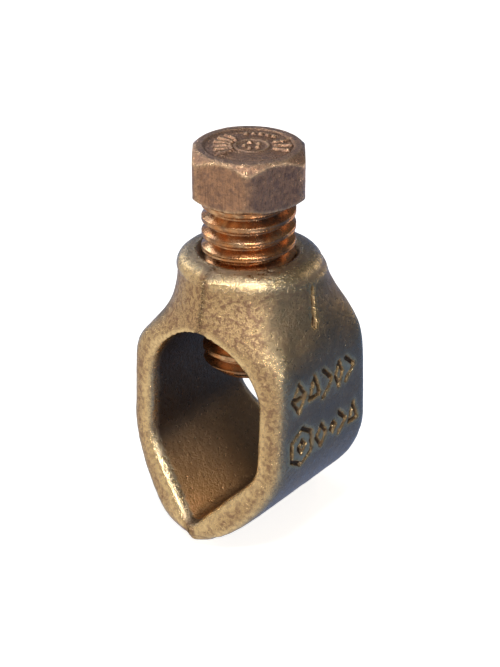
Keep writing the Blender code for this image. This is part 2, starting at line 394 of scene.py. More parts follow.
def body_half_width(z):
    drop = min(max((WALL_END - z) / WALL_END, 0.0), 1.0)
    return HALF_WIDTH * max((1 - drop ** BOTTOM_POWER) ** (1 / BOTTOM_POWER), FOOT_SCALE)


def plan_point(turn, z):
    """Point on the outline as seen from above."""
    width = body_half_width(z)
    curl = min(max(FOOT_RADIUS - z, 0.0), FOOT_RADIUS)
    depth = face_depth(0.0, z) - FOOT_RADIUS + math.sqrt(FOOT_RADIUS ** 2 - curl ** 2)
    x = width * math.cos(turn)
    y = depth * math.sin(turn)
    side = abs(math.cos(turn))
    front = abs(math.sin(turn)) + FACE_SLOPE * abs(x) / depth
    neck = math.hypot(x, y) / neck_radius(z, turn)
    block = (side ** EDGE_POWER + front ** EDGE_POWER) ** (1 / EDGE_POWER)
    reach = (block ** BLEND_POWER + neck ** BLEND_POWER) ** (-1 / BLEND_POWER)
    return Vector((x * reach, y * reach, z))


# %% Press the blank
BLANK_STEPS = 160
NECK_RINGS = 30
BOTTOM_RINGS = 26
ROUND_RINGS = 8

levels = [NECK_START + (NECK_END - NECK_START) * i / NECK_RINGS for i in range(NECK_RINGS + 1)]
levels += [WALL_END * math.cos(math.pi / 2 * i / BOTTOM_RINGS) for i in range(BOTTOM_RINGS + 1)]
chain = [(0.0, BODY_HEIGHT)]
for i in range(ROUND_RINGS + 1):
    lean = math.pi / 2 * i / ROUND_RINGS
    radius = COLLAR_FLAT + (COLLAR_RADIUS - COLLAR_FLAT) * math.sin(lean)
    chain.append((radius, BODY_HEIGHT - COLLAR_FALL * (1 - math.cos(lean))))
chain += [(1.0, z) for z in levels]
chain.append((0.0, levels[-1]))
blank = turned(chain, BLANK_STEPS)
for vert in blank.verts:
    if vert.co.xy.length > 0.5:           # a ring at radius 1, still to be pressed
        vert.co = plan_point(math.atan2(vert.co.y, vert.co.x), vert.co.z)
body = on_bench("clamp_casting", blank)
print(f"blank: {len(body.data.vertices)} points, {body.dimensions.y / MM:.1f} mm deep")

# %% [markdown]
# ## The opening
#
# The opening is an arch on two walls, with a V below that centres a round rod. In the foundry a sand core makes it.
# Here the core is one face with the opening's outline, extruded along Y. At both ends it flares by a quarter
# circle, so that the rims it leaves are round, as on the real casting.

# %% Outline of the core
OPENING_HALF_WIDTH = 6.7 * MM
ROOF_HEIGHT = 23.3 * MM
ARCH_START = 16.5 * MM
ARCH_POWER = 1.72
SEAT_START = 8.84 * MM
SEAT_TIP = 1.6 * MM
ROOT_RADIUS = 1.0 * MM
SHOULDER_RADIUS = 4.0 * MM
ARCH_STEPS = 18
SHOULDER_STEPS = 6
ROOT_STEPS = 8


def fillet(corner, before, after, radius, steps):
    """Points of the arc that rounds a corner between two neighbours, all as (x, z)."""
    corner = Vector(corner)
    towards = (Vector(before) - corner).normalized()
    away = (Vector(after) - corner).normalized()
    half = towards.angle(away) / 2
    centre = corner + (towards + away).normalized() * radius / math.sin(half)
    start = corner + towards * radius / math.tan(half) - centre
    end = corner + away * radius / math.tan(half) - centre
    return [centre + start.lerp(end, i / steps).normalized() * radius for i in range(steps + 1)]


def opening_outline():
    """The outline as (x, z) points: arch, wall, shoulder, seat and root on the right, then the same on the left."""
    right = []
    for i in range(ARCH_STEPS + 1):
        angle = math.pi / 2 * i / ARCH_STEPS
        x = OPENING_HALF_WIDTH * math.sin(angle) ** (2 / ARCH_POWER)
        z = ARCH_START + (ROOF_HEIGHT - ARCH_START) * max(math.cos(angle), 0.0) ** (2 / ARCH_POWER)
        right.append(Vector((x, z)))
    foot = (OPENING_HALF_WIDTH, SEAT_START)
    tip = (0.0, SEAT_TIP)
    right += fillet(foot, (OPENING_HALF_WIDTH, ARCH_START), tip, SHOULDER_RADIUS, SHOULDER_STEPS)
    root = fillet(tip, foot, (-OPENING_HALF_WIDTH, SEAT_START), ROOT_RADIUS, ROOT_STEPS)
    right += root[:ROOT_STEPS // 2 + 1]
    left = [Vector((-point.x, point.y)) for point in reversed(right[1:-1])]
    return right + left


outline = opening_outline()
print(f"core outline of {len(outline)} points")

# %% Extrude the core and cut
RIM_RADIUS = 1.25 * MM
BACK_RIM = 1.4                            # the back rim is this much rounder
RIM_STEPS = 7
CORE_REACH = 3.0 * MM

outward = []
for i in range(len(outline)):
    run = outline[(i + 1) % len(outline)] - outline[i - 1]
    outward.append(Vector((-run.y, run.x)).normalized())
half_rings = [(-CORE_REACH, RIM_RADIUS)]     # how far in from the face, and how far out from the outline
for i in range(RIM_STEPS + 1):
    angle = math.pi / 2 * i / RIM_STEPS
    half_rings.append((RIM_RADIUS * (1 - math.cos(angle)), RIM_RADIUS * (1 - math.sin(angle))))
rings = [(-1, inset, flare) for inset, flare in half_rings]
rings += [(1, inset * BACK_RIM, flare * BACK_RIM) for inset, flare in reversed(half_rings)]

core = bmesh.new()
bmesh.ops.create_circle(core, cap_ends=True, segments=len(outline), radius=1.0)
station = core.verts.layers.int.new("station")
core.verts.ensure_lookup_table()
for i, vert in enumerate(core.verts):
    vert[station] = i
cap = core.faces[:][0]
for number, (side, inset, flare) in enumerate(rings):
    if number:
        made = bmesh.ops.extrude_face_region(core, geom=[cap])["geom"]
        if number > 1:
            bmesh.ops.delete(core, geom=[cap], context="FACES_ONLY")
        cap = next(part for part in made if isinstance(part, bmesh.types.BMFace))
    for vert in cap.verts:
        place = outline[vert[station]] + outward[vert[station]] * flare
        vert.co = (place.x, side * (face_depth(place.x, place.y) - inset), place.y)
bmesh.ops.triangulate(core, faces=core.faces[:])
combine(body, on_bench("core", core), "DIFFERENCE")
print(f"body with its opening: {len(body.data.vertices)} points")

# %% [markdown]
# ## Cast skin
#
# Nothing on a casting is truly sharp. A voxel remesh gives the solid one even skin of small quads, and smoothing it
# rounds every edge a little, most where the edge is sharpest. The even skin is also what the finer relief needs.

# %% Skin of the casting
CAST_VOXEL = 0.23 * MM
CAST_PASSES = 3
CAST_SHIFT = Vector((0.08, 0.06, 0.0)) * MM      # the casting sits this far off its thread's axis
cast_skin(body, CAST_VOXEL, CAST_PASSES)
body.data.transform(Matrix.Translation(CAST_SHIFT))
print(f"cast skin: {len(body.data.polygons)} faces")

# %% [markdown]
# ## Parting line and cast surface
#
# Where the two mould halves meet, metal creeps into the joint and leaves a thin rough fin, which is knocked off
# afterwards. One half also sits a little proud of the other. Both are made by moving the skin along its normals: a
# step at X = 0, and a narrow ridge with a broken, grainy height. The rest of the surface gets the gentle
# unevenness that sand leaves.

# %% Finer skin along the parting line
SEAM_HALF = 0.40 * MM
STEP_HEIGHT = 0.26 * MM
RIDGE_HEIGHT = 0.34 * MM
MOUTH_LIP = 5.45 * MM                     # the drill throws up a low lip round the mouth


def refine(item, chosen, cuts):
    """Cut the quads whose corners are all chosen into smaller ones."""
    bm = bmesh.new()
    bm.from_mesh(item.data)
    bm.verts.ensure_lookup_table()
    edges = [edge for edge in bm.edges if chosen[edge.verts[0].index] and chosen[edge.verts[1].index]]
    bmesh.ops.subdivide_edges(bm, edges=edges, cuts=cuts, use_grid_fill=True)
    bm.to_mesh(item.data)
    bm.free()


def outside(co):
    """True where a point is on the casting's outside rather than in the opening."""
    past_rim = np.abs(co[:, 1]) > face_depth(co[:, 0], co[:, 2]) - 1.6 * MM
    arch = np.clip((co[:, 2] - ARCH_START) / (ROOF_HEIGHT - ARCH_START), 0, 1)
    seat = np.clip((co[:, 2] - SEAT_TIP) / (SEAT_START - SEAT_TIP), 0, 1)
    wall = OPENING_HALF_WIDTH * seat * (1 - arch ** ARCH_POWER) ** (1 / ARCH_POWER)
    past_wall = np.abs(co[:, 0]) > wall + 1.2 * MM
    return past_rim | past_wall | (co[:, 2] > ROOF_HEIGHT + 0.8 * MM)


co = places(body.data)
refine(body, (np.abs(co[:, 0]) < 1.8 * SEAM_HALF) & outside(co), 2)
co = places(body.data)
from_lip = np.abs(np.hypot(co[:, 0], co[:, 1]) - MOUTH_LIP)
refine(body, (from_lip < 0.5 * MM) & (co[:, 2] > BODY_HEIGHT - 0.6 * MM), 1)
print(f"with the finer seam: {len(body.data.polygons)} faces")


# %% Fin, step and sand texture
SEAM_LUMP = 0.70 * MM                     # sizes of the coarse and the fine lumps along the fin
SEAM_GRAIN = 0.30 * MM
STEP_FADE = 3.2 * MM                      # the step is lost this far from the parting line
UNDER_STEP = 0.42 * MM                    # more of a step on the underside
SAND_LUMP = 1.6 * MM
SAND_GRAIN = 0.55 * MM
SAND_HEIGHT = 0.035 * MM
SAND_ROUGHNESS = 0.016 * MM
LIP_HEIGHT = 0.12 * MM
LIP_HALF = 0.22 * MM


def grain(co, size, seed):
    """Smooth noise at each point, about -1 to 1, with lumps of the size given."""
    shift = Vector((seed * 7.1, seed * 3.7, seed * 5.3))
    return np.array([noise.noise(Vector(point) / size + shift) for point in co])


co = places(body.data)
along = normals(body.data)
# The parting line shows on the outside only, and not on the top, which is faced flat.
open_air = ease((np.abs(co[:, 1]) - face_depth(co[:, 0], co[:, 2]) + 1.15 * MM) / (0.9 * MM))
open_air = np.maximum(open_air, ease((co[:, 2] - ROOF_HEIGHT - 0.9 * MM) / (0.8 * MM)))
open_air = np.maximum(open_air, ease((SEAT_TIP - 0.3 * MM - co[:, 2]) / (0.8 * MM)))
open_air *= 1 - ease((co[:, 2] - BODY_HEIGHT + 1.0 * MM) / (0.7 * MM))
# Low down the fin is gone and the step softens, but on the underside it stays.
low_down = ease((4.5 * MM - co[:, 2]) / (2.5 * MM))
half = ease((co[:, 0] - 0.10 * MM) / (0.14 * MM + 0.9 * MM * low_down) + 0.5)
fade = ease(1 - np.abs(co[:, 0]) / STEP_FADE)
lift = STEP_HEIGHT * half * fade * open_air * (1 - 0.6 * low_down)
broken = 0.35 + 0.6 * grain(co, SEAM_LUMP, 1) + 1.3 * grain(co, SEAM_GRAIN, 2)
ridge = np.exp(-(co[:, 0] / (0.75 * SEAM_HALF)) ** 2)
lift += RIDGE_HEIGHT * ridge * np.clip(broken, -0.5, 1.2) * open_air * (1 - low_down)
lift += UNDER_STEP * half * fade * low_down * np.clip(-along[:, 2], 0, 1) * (co[:, 2] < SEAT_TIP)
lift += SAND_HEIGHT * grain(co, SAND_LUMP, 3) + SAND_ROUGHNESS * grain(co, SAND_GRAIN, 4)
set_places(body.data, co + along * lift[:, None])
out = np.hypot(co[:, 0], co[:, 1])
on_top = ease((co[:, 2] - BODY_HEIGHT + MM) / MM)
rim_lift = LIP_HEIGHT * np.exp(-((out - MOUTH_LIP) / LIP_HALF) ** 2) * on_top
set_places(body.data, places(body.data) + np.array([0, 0, 1]) * rim_lift[:, None])
print(f"parting line up to {lift.max() / MM:.2f} mm proud")

# %% [markdown]
# ## Marks on the side
#
# The pattern carries sunk marks that tell the foundry one size from another. They are drawn as short strokes on the
# +X side: chevrons and closed shapes with no meaning as letters, and an upright slot on the collar. For each point of
# the skin the distance to the nearest stroke is worked out, and the point sinks where that is less than the stroke's
# half width. The skin is cut finer round the strokes first, so that their edges come out clean.

# %% Strokes
STROKE_HALF = 0.205 * MM
MARK_DEPTH = 0.36 * MM
MARK_WALL = 0.20 * MM                     # width of the slope at a stroke's edge
MARK_LIP = 0.05 * MM                      # height of the metal pushed up beside it


def bar(y, z, length, turn=90.0):
    """One straight stroke, centred on (y, z), at an angle from the horizontal in degrees."""
    half = Vector((math.cos(math.radians(turn)), math.sin(math.radians(turn)))) * length / 2
    centre = Vector((y, z))
    return [(centre - half, centre + half)]


def closed(y, z, half_width, half_height, sides, turn=90.0):
    """Strokes round a regular shape with this many sides."""
    corners = []
    for i in range(sides):
        angle = math.radians(turn) + 2 * math.pi * i / sides
        corners.append(Vector((y + half_width * math.cos(angle), z + half_height * math.sin(angle))))
    return [(corners[i - 1], corners[i]) for i in range(sides)]


def chevron(y, z, half_width, half_height):
    low = Vector((y - half_width, z - half_height))
    tip = Vector((y + half_width, z))
    high = Vector((y - half_width, z + half_height))
    return [(low, tip), (tip, high)]


def side_marks():
    """Two rows of foundry marks as (y, z) strokes, in millimetres."""
    strokes = closed(-4.75, 17.7, 1.05, 1.55, 4)
    strokes += bar(-4.75, 17.7, 1.2, 0)
    strokes += closed(-2.1, 17.6, 1.05, 1.5, 3)
    strokes += chevron(0.2, 17.6, 0.75, 1.5)
    strokes += closed(2.15, 17.6, 0.60, 1.35, 4)
    strokes += chevron(4.1, 17.6, 0.70, 1.30)
    strokes += closed(-4.25, 11.95, 1.95, 2.1, 6)
    strokes += closed(-4.25, 11.95, 0.6, 0.7, 4)
    strokes += closed(-0.85, 11.8, 0.85, 1.25, 4)
    strokes += closed(1.25, 11.8, 0.45, 0.50, 4)
    strokes += chevron(2.9, 11.8, 0.60, 1.20)
    strokes += closed(4.85, 11.7, 0.85, 1.3, 3)
    return [(start * MM, end * MM) for start, end in strokes]


def neck_marks():
    """The upright slot on the collar's side, a little wider at its foot."""
    strokes = bar(-0.25, 25.8, 3.3, 77) + bar(-0.72, 24.3, 0.7, 80)
    return [(start * MM, end * MM) for start, end in strokes]


def stroke_distance(flat, strokes):
    """Distance from each 2D point to the nearest stroke."""
    nearest = np.full(len(flat), 1.0)
    for start, end in strokes:
        start, run = np.array(start), np.array(end - start)
        share = np.clip((flat - start) @ run / (run @ run), 0, 1)
        gap = np.linalg.norm(flat - start - share[:, None] * run, axis=1)
        nearest = np.minimum(nearest, gap)
    return nearest


marks = side_marks() + neck_marks()
print(f"{len(marks)} strokes")


# %% Sink the marks
def mark_field(co):
    """How far each point is from a stroke, with everything off the outer +X side far away."""
    gap = stroke_distance(co[:, 1:], marks)
    return np.where((co[:, 0] > 0.68 * HALF_WIDTH) & outside(co), gap, 1.0)


co = places(body.data)
refine(body, mark_field(co) < STROKE_HALF + 0.22 * MM, 2)
co = places(body.data)
along = normals(body.data)
gap = mark_field(co) + 0.07 * MM * grain(co, 0.5 * MM, 5)
sunk = ease((STROKE_HALF - gap) / MARK_WALL + 0.5)
lip = np.exp(-((gap - STROKE_HALF - 0.17 * MM) / (0.12 * MM)) ** 2)
set_places(body.data, co - along * (MARK_DEPTH * sunk - MARK_LIP * lip)[:, None])
print(f"{int((sunk > 0.5).sum())} points sunk, {len(body.data.polygons)} faces")


# %% [markdown]
# ## Edge and hollow maps
#
# Edges are rubbed bright, a brightening that also serves as painted highlight, and hollows are painted darker. Both
# follow the shape, so they are measured on it: a much smoothed copy of the skin lies below the real one on an edge
# and above it in a hollow. The difference is stored on the points, where the materials read it.

# %% Measure edges and hollows
def smoothed(mesh, co, passes):
    """Each point moved to the mean of its neighbours, this many times."""
    pairs = np.empty(len(mesh.edges) * 2, dtype=np.int64)
    mesh.edges.foreach_get("vertices", pairs)
    first, second = pairs.reshape(-1, 2).T
    count = np.bincount(pairs, minlength=len(co))[:, None]
    for _ in range(passes):
        total = np.zeros_like(co)
        for axis in range(co.shape[1]):
            total[:, axis] = np.bincount(first, co[second, axis], len(co))
            total[:, axis] += np.bincount(second, co[first, axis], len(co))
        co = total / count
    return co


def store(mesh, name, values):
    made = mesh.attributes.new(name, "FLOAT", "POINT")
    made.data.foreach_set("value", values.astype(np.float32))


def edge_and_hollow_maps(item, passes, reach):
    """Store how far each point stands out of the smoothed skin, or lies below it; the reach counts as full."""
    mesh = item.data
    co = places(mesh)
    proud = ((co - smoothed(mesh, co, passes)) * normals(mesh)).sum(1)
    store(mesh, "edge", ease(proud / reach))
    store(mesh, "hollow", ease(-proud / reach))


edge_and_hollow_maps(body, 18, 0.20 * MM)
store(body.data, "mark", sunk)
store(body.data, "lip", lip)
co = places(body.data)
along = normals(body.data)
# The inside of the opening is later painted in shade, with a painted glow on its seat.
store(body.data, "inside", 1 - outside(co).astype(float))
# Faces turned away from the front later get the film, which is partly painted shade.
store(body.data, "front", ease(3.0 * np.abs(along[:, 1]) - 1.35))
store(body.data, "seam", np.exp(-(co[:, 0] / SEAM_HALF) ** 2) * outside(co))
print("wear maps on the casting")

# %% [markdown]
# ## The tapped collar
#
# The collar is drilled and tapped, so its thread is crisp where the casting is soft. The tap is one pitch of the
# thread's profile carried up a helix by a spin with a rise in each step. It is a little larger than the bolt, for
# clearance. A cone opens the mouth.

# %% Thread and tap
THREAD_RADIUS = 25.4 * 0.375 / 2 * MM
PITCH = 25.4 / 16 * MM
THREAD_DEPTH = 0.575 * PITCH
FLANK = math.tan(math.radians(30))
CLEARANCE = 0.13 * MM
MOUTH_RADIUS = 5.2 * MM
THREAD_STEPS = 72
THREAD_PHASE = 0.33 * PITCH               # height of a crest above a whole number of pitches, at +X


def threaded_rod(section, top, bottom):
    """A rod with flat ends, from one pitch of its profile as (radius, height) points."""
    turns = math.ceil((top - bottom) / PITCH) + 4
    start = (math.floor(bottom / PITCH) - 2) * PITCH + THREAD_PHASE
    bm = bmesh.new()
    verts = [bm.verts.new((radius, 0.0, start + height)) for radius, height in section]
    edges = [bm.edges.new(pair) for pair in zip(verts, verts[1:])]
    bmesh.ops.spin(
        bm, geom=verts + edges, cent=(0, 0, 0), axis=(0, 0, 1), dvec=(0, 0, PITCH / THREAD_STEPS),
        angle=2 * math.pi * turns, steps=THREAD_STEPS * turns,
    )
    bmesh.ops.remove_doubles(bm, verts=bm.verts[:], dist=2 * WELD)
    bmesh.ops.triangulate(bm, faces=bm.faces[:])
    for height, normal in ((top, 1.0), (bottom, -1.0)):
        geometry = bm.verts[:] + bm.edges[:] + bm.faces[:]
        bmesh.ops.bisect_plane(
            bm, geom=geometry, dist=1e-7, plane_co=(0, 0, height), plane_no=(0, 0, normal), clear_outer=True
        )
        rim = [edge for edge in bm.edges if edge.is_boundary and abs(edge.verts[0].co.z - height) < 1e-6]
        bmesh.ops.contextual_create(bm, geom=rim)
    return bm


def tap_section():
    """One pitch of the tapped thread, from the middle of a root to the middle of the next."""
    crest = THREAD_RADIUS + CLEARANCE
    root = THREAD_RADIUS - THREAD_DEPTH + CLEARANCE
    half = 0.0625 * PITCH + CLEARANCE
    flank = (crest - root) * FLANK
    return [
        (root, -PITCH / 2), (root, -half - flank), (crest, -half),
        (crest, half), (root, half + flank), (root, PITCH / 2),
    ]


above = BODY_HEIGHT + 1 * MM
tap = threaded_rod(tap_section(), above, ARCH_START + 2 * MM)
combine(body, on_bench("tap", tap), "DIFFERENCE")
bore = tap_section()[0][0]
mouth = turned([
    (0.0, above),
    (MOUTH_RADIUS + above - BODY_HEIGHT, above),
    (bore, BODY_HEIGHT - MOUTH_RADIUS + bore),
    (0.0, BODY_HEIGHT - MOUTH_RADIUS + bore),
])
combine(body, on_bench("mouth", mouth), "DIFFERENCE")
print(f"tapped casting: {sum(len(face.vertices) - 2 for face in body.data.polygons)} triangles")

# %% [markdown]
# ## The bolt's shank
#
# The bolt's thread is rolled between dies. That leaves broad crests with a faint fold along their middle, and
# rounded roots, so the profile has more points than the tap's. It clears the tapped thread by less than a tenth of a
# millimetre on each flank. The tip is chamfered by keeping only what lies inside a turned envelope.

# %% Rolled thread
CREST_RADIUS = 4.77 * MM
CREST_HALF = 0.235 * MM
CREST_FOLD = 0.05 * MM
ROOT_FLOOR = THREAD_RADIUS - THREAD_DEPTH
HEAD_HEIGHT = 5.1 * MM
HEAD_BOTTOM = HEAD_TOP - HEAD_HEIGHT
TIP_CHAMFER = 1.1 * MM


def rolled_section():
    """One pitch of the bolt's thread, from the middle of a root to the middle of the next."""
    half_side = [
        (ROOT_FLOOR, PITCH / 2),
        (ROOT_FLOOR + 0.03 * MM, PITCH / 2 - 0.09 * MM),
        (CREST_RADIUS - 0.10 * MM, CREST_HALF + 0.055 * MM),
        (CREST_RADIUS - 0.02 * MM, CREST_HALF - 0.01 * MM),
        (CREST_RADIUS, CREST_HALF - 0.07 * MM),
        (CREST_RADIUS - CREST_FOLD, 0.03 * MM),
    ]
    lower = [(radius, -height) for radius, height in half_side]
    return lower + list(reversed(half_side))


shank = on_bench("shank", threaded_rod(rolled_section(), HEAD_BOTTOM + 1 * MM, BOLT_TIP))
reach = CREST_RADIUS + 1 * MM
tip_envelope = turned([
    (0.0, HEAD_BOTTOM + 2 * MM),
    (reach, HEAD_BOTTOM + 2 * MM),
    (reach, BOLT_TIP + TIP_CHAMFER * 2),
    (CREST_RADIUS + 0.05 * MM, BOLT_TIP + TIP_CHAMFER),
    (ROOT_FLOOR - 0.25 * MM, BOLT_TIP),
    (0.0, BOLT_TIP),
])
combine(shank, on_bench("tip_envelope", tip_envelope), "INTERSECT")
out = np.hypot(*places(shank.data)[:, :2].T)
# The crests' band, which the material paints bright, partly as painted highlight.
store(shank.data, "edge", ease((out - CREST_RADIUS + 0.16 * MM) / (0.10 * MM)))
store(shank.data, "hollow", ease((ROOT_FLOOR + 0.25 * MM - out) / (0.2 * MM)))
print(f"shank: {len(shank.data.vertices)} points, {shank.dimensions.z / MM:.1f} mm long")

# %% [markdown]
# ## The bolt's head
#
# The head is forged from the rod: a hexagon whose top is chamfered by a turned cone, which is why each side face
# ends in a curve. A six-sided cone primitive is bevelled on its upright edges, and only what lies inside a turned
# envelope is kept. It then gets the same soft skin as the casting, with a finer voxel.

# %% Hexagon and envelope
HEAD_CORNER_RADIUS = 11.1125 / 2 / math.cos(math.pi / 6) * MM
HEAD_CORNER = 0.7 * MM
HEAD_TURN = math.radians(-53)
HEAD_TOP_RADIUS = 5.35 * MM
HEAD_SEAT_RADIUS = 5.6 * MM
TOP_CHAMFER = math.tan(math.radians(46))
SEAT_CHAMFER = math.tan(math.radians(38))
HEAD_VOXEL = 0.115 * MM
HEAD_PASSES = 2

hexagon = bmesh.new()
bmesh.ops.create_cone(
    hexagon, cap_ends=True, segments=6, radius1=HEAD_CORNER_RADIUS, radius2=HEAD_CORNER_RADIUS, depth=HEAD_HEIGHT
)
first = hexagon.verts[:][0].co
turn = HEAD_TURN - math.atan2(first.y, first.x)
for vert in hexagon.verts:
    angle = math.atan2(vert.co.y, vert.co.x) + turn
    vert.co.x = HEAD_CORNER_RADIUS * math.cos(angle)
    vert.co.y = HEAD_CORNER_RADIUS * math.sin(angle)
bmesh.ops.translate(hexagon, verts=hexagon.verts[:], vec=(0, 0, HEAD_BOTTOM + HEAD_HEIGHT / 2))
hexagon.normal_update()
upright = [edge for edge in hexagon.edges if abs(edge.verts[0].co.z - edge.verts[1].co.z) > HEAD_HEIGHT / 2]
bmesh.ops.bevel(
    hexagon, geom=upright, offset=HEAD_CORNER, affect="EDGES", segments=5, profile=0.5, material=-1
)
bolt = on_bench("bolt_forging", hexagon)
reach = HEAD_CORNER_RADIUS + 0.2 * MM
head_envelope = turned([
    (0.0, HEAD_TOP),
    (HEAD_TOP_RADIUS - 0.15 * MM, HEAD_TOP),
    (HEAD_TOP_RADIUS + 0.05 * MM, HEAD_TOP - 0.10 * MM),
    (reach, HEAD_TOP - (reach - HEAD_TOP_RADIUS) * TOP_CHAMFER),
    (reach, HEAD_BOTTOM + (reach - HEAD_SEAT_RADIUS) * SEAT_CHAMFER),
    (HEAD_SEAT_RADIUS, HEAD_BOTTOM),
    (0.0, HEAD_BOTTOM),
])
combine(bolt, on_bench("head_envelope", head_envelope), "INTERSECT")
cast_skin(bolt, HEAD_VOXEL, HEAD_PASSES)
print(f"head skin: {len(bolt.data.polygons)} faces")

# %% [markdown]
# ## Relief on top of the head
#
# The heading die presses a shallow dish with a raised ring into the top, and a few plain bars and dots round it
# that stand for the bolt's strength. As on the side of the casting, distances to strokes give their height.

# %% Dish, ring, bars and dots
DISH_RADIUS = 4.45 * MM
DISH_DEPTH = 0.13 * MM
RING_RADIUS = 1.65 * MM
RING_HEIGHT = 0.12 * MM
RIPPLE_HALF = 0.12 * MM                   # two faint ripples, one inside the dish's edge and one round the ring
OUTER_RIPPLE = 0.05 * MM
INNER_RIPPLE = 0.04 * MM
MARK_HEIGHT = 0.22 * MM
MARK_CENTRE = Vector((0.26, 0.19)) * MM   # the die strikes a little off the bolt's axis


def radial(angle, inner, outer):
    """A stroke that points away from the marks' centre, in millimetres and degrees."""
    way = Vector((math.cos(math.radians(angle)), math.sin(math.radians(angle))))
    return [(MARK_CENTRE + way * inner * MM, MARK_CENTRE + way * outer * MM)]


def dot(angle, radius):
    return radial(angle, radius, radius + 0.02)


def top_marks():
    """A fan of bars over a row of dots, three bars across from it, more dots, and a small ring of them inside."""
    strokes = []
    for angle in range(170, 251, 16):
        strokes += radial(angle, 2.6, 3.7)
    for angle in (178, 194, 210, 226, 242):
        strokes += dot(angle, 2.2)
    for angle in (15, 37, 59):
        strokes += radial(angle, 2.4, 3.8)
    for angle in range(85, 150, 13):
        strokes += dot(angle, 3.2)
    for angle in range(0, 360, 72):
        strokes += dot(angle, 0.75)
    return strokes


top_strokes = top_marks()
co = places(bolt.data)
on_top = co[:, 2] > HEAD_TOP - 0.3 * MM
refine(bolt, on_top & (stroke_distance(co[:, :2], top_strokes) < 0.40 * MM), 1)
co = places(bolt.data)
on_top = ease((co[:, 2] - HEAD_TOP + 0.3 * MM) / (0.2 * MM))
out = np.hypot(co[:, 0], co[:, 1])
height = -DISH_DEPTH * ease((DISH_RADIUS - out) / (0.22 * MM) + 0.5)
out = np.hypot(co[:, 0] - MARK_CENTRE.x, co[:, 1] - MARK_CENTRE.y)
height += RING_HEIGHT * np.exp(-((out - RING_RADIUS) / (0.16 * MM)) ** 2)
height += OUTER_RIPPLE * np.exp(-((out - DISH_RADIUS + 0.65 * MM) / RIPPLE_HALF) ** 2)
height += INNER_RIPPLE * np.exp(-((out - RING_RADIUS - 0.5 * MM) / RIPPLE_HALF) ** 2)
gap = stroke_distance(co[:, :2], top_strokes) + 0.08 * MM * grain(co, 0.35 * MM, 6)
height += MARK_HEIGHT * ease((0.20 * MM - gap) / (0.2 * MM) + 0.5)
co[:, 2] += height * on_top
along = normals(bolt.data)
lift = 0.020 * MM * grain(co, 1.1 * MM, 7) + 0.008 * MM * grain(co, 0.35 * MM, 8)
set_places(bolt.data, co + along * lift[:, None])
edge_and_hollow_maps(bolt, 14, 0.10 * MM)
combine(bolt, shank, "UNION")
print(f"bolt: {sum(len(face.vertices) - 2 for face in bolt.data.polygons)} triangles")
print("maps:", [entry.name for entry in bolt.data.attributes if entry.domain == "POINT"])


# %% [markdown]
# ## Metals
#
# Cast bronze is not one colour. Its skin goes from tan to a grey-brown film within a millimetre, a film laid on the
# faces turned away from the front and so partly painted shade. It is pitted by the sand, and is rubbed yellow on its
# edges, a yellow that is partly painted highlight. The colours are mixed by noise in the object's own coordinates, so
# the pattern stays on the piece as it moves, and the edge and hollow maps say where the metal is painted brighter or
# darker.

# %% Node helpers
def noise_node(tree, size, detail=6.0, rough=0.6, stretch=None):
    """Noise with features of the size given, in metres; stretch scales it along X, Y and Z."""
    where = node(tree, "ShaderNodeTexCoord")
    made = node(tree, "ShaderNodeTexNoise")
    made.inputs["Scale"].default_value = 1 / size
    made.inputs["Detail"].default_value = detail
    made.inputs["Roughness"].default_value = rough
    if stretch:
        mapping = node(tree, "ShaderNodeMapping")
        mapping.inputs["Scale"].default_value = stretch
        link(tree, where.outputs["Object"], mapping.inputs["Vector"])
        link(tree, mapping.outputs["Vector"], made.inputs["Vector"])
    else:
        link(tree, where.outputs["Object"], made.inputs["Vector"])
    return made.outputs["Fac"]


def spread(tree, value, low, high, to_low=0.0, to_high=1.0):
    """Map low..high to to_low..to_high, and hold the ends beyond them."""
    made = node(tree, "ShaderNodeMapRange")
    made.inputs["From Min"].default_value = low
    made.inputs["From Max"].default_value = high
    made.inputs["To Min"].default_value = to_low
    made.inputs["To Max"].default_value = to_high
    link(tree, value, made.inputs["Value"])
    return made.outputs["Result"]


def sums(tree, operation, first, second):
    """Combine two numbers or sockets and keep the result between 0 and 1."""
    made = node(tree, "ShaderNodeMath", operation=operation)
    made.use_clamp = True
    for number, value in enumerate((first, second)):
        if isinstance(value, float):
            made.inputs[number].default_value = value
        else:
            link(tree, value, made.inputs[number])
    return made.outputs["Value"]


def stored(tree, name):
    """One of the maps stored on the points."""
    return node(tree, "ShaderNodeAttribute", attribute_name=name).outputs["Fac"]


def bumps(tree, shader, heights):
    """Chain bump nodes: each height is (value, depth in metres)."""
    last = None
    for value, depth in heights:
        made = node(tree, "ShaderNodeBump")
        made.inputs["Distance"].default_value = depth
        link(tree, value, made.inputs["Height"])
        if last:
            link(tree, last, made.inputs["Normal"])
        last = made.outputs["Normal"]
    link(tree, last, shader.inputs["Normal"])


print("node helpers ready")

# %% [markdown]
# The casting: a tan ground on the front with rosy patches; a grey-brown film on the sides that is partly painted
# shade, with more painted shade over the upper sides; painted shade inside the opening with a painted orange glow on
# its seat;
# yellow rubbed edges that are partly painted highlight; darker hollows, dark specks along the parting line and dark
# marks; and golden lips round the marks that are partly painted highlight.

# %% Cast bronze
BRONZE_TAN = (0.69, 0.505, 0.285)
BRONZE_ROSE = (0.36, 0.225, 0.15)
BRONZE_FILM_AND_SHADE = (0.36, 0.30, 0.24)
BRONZE_UPPER_SHADE = (0.22, 0.175, 0.12)
BRONZE_INSIDE_SHADE = (0.15, 0.105, 0.072)
BRONZE_SEAT_GLOW = (0.84, 0.48, 0.22)
BRONZE_WEAR_AND_HIGHLIGHT = (0.92, 0.76, 0.47)
BRONZE_DARK = (0.10, 0.060, 0.035)
BRONZE_GOLD_AND_HIGHLIGHT = (0.80, 0.55, 0.24)


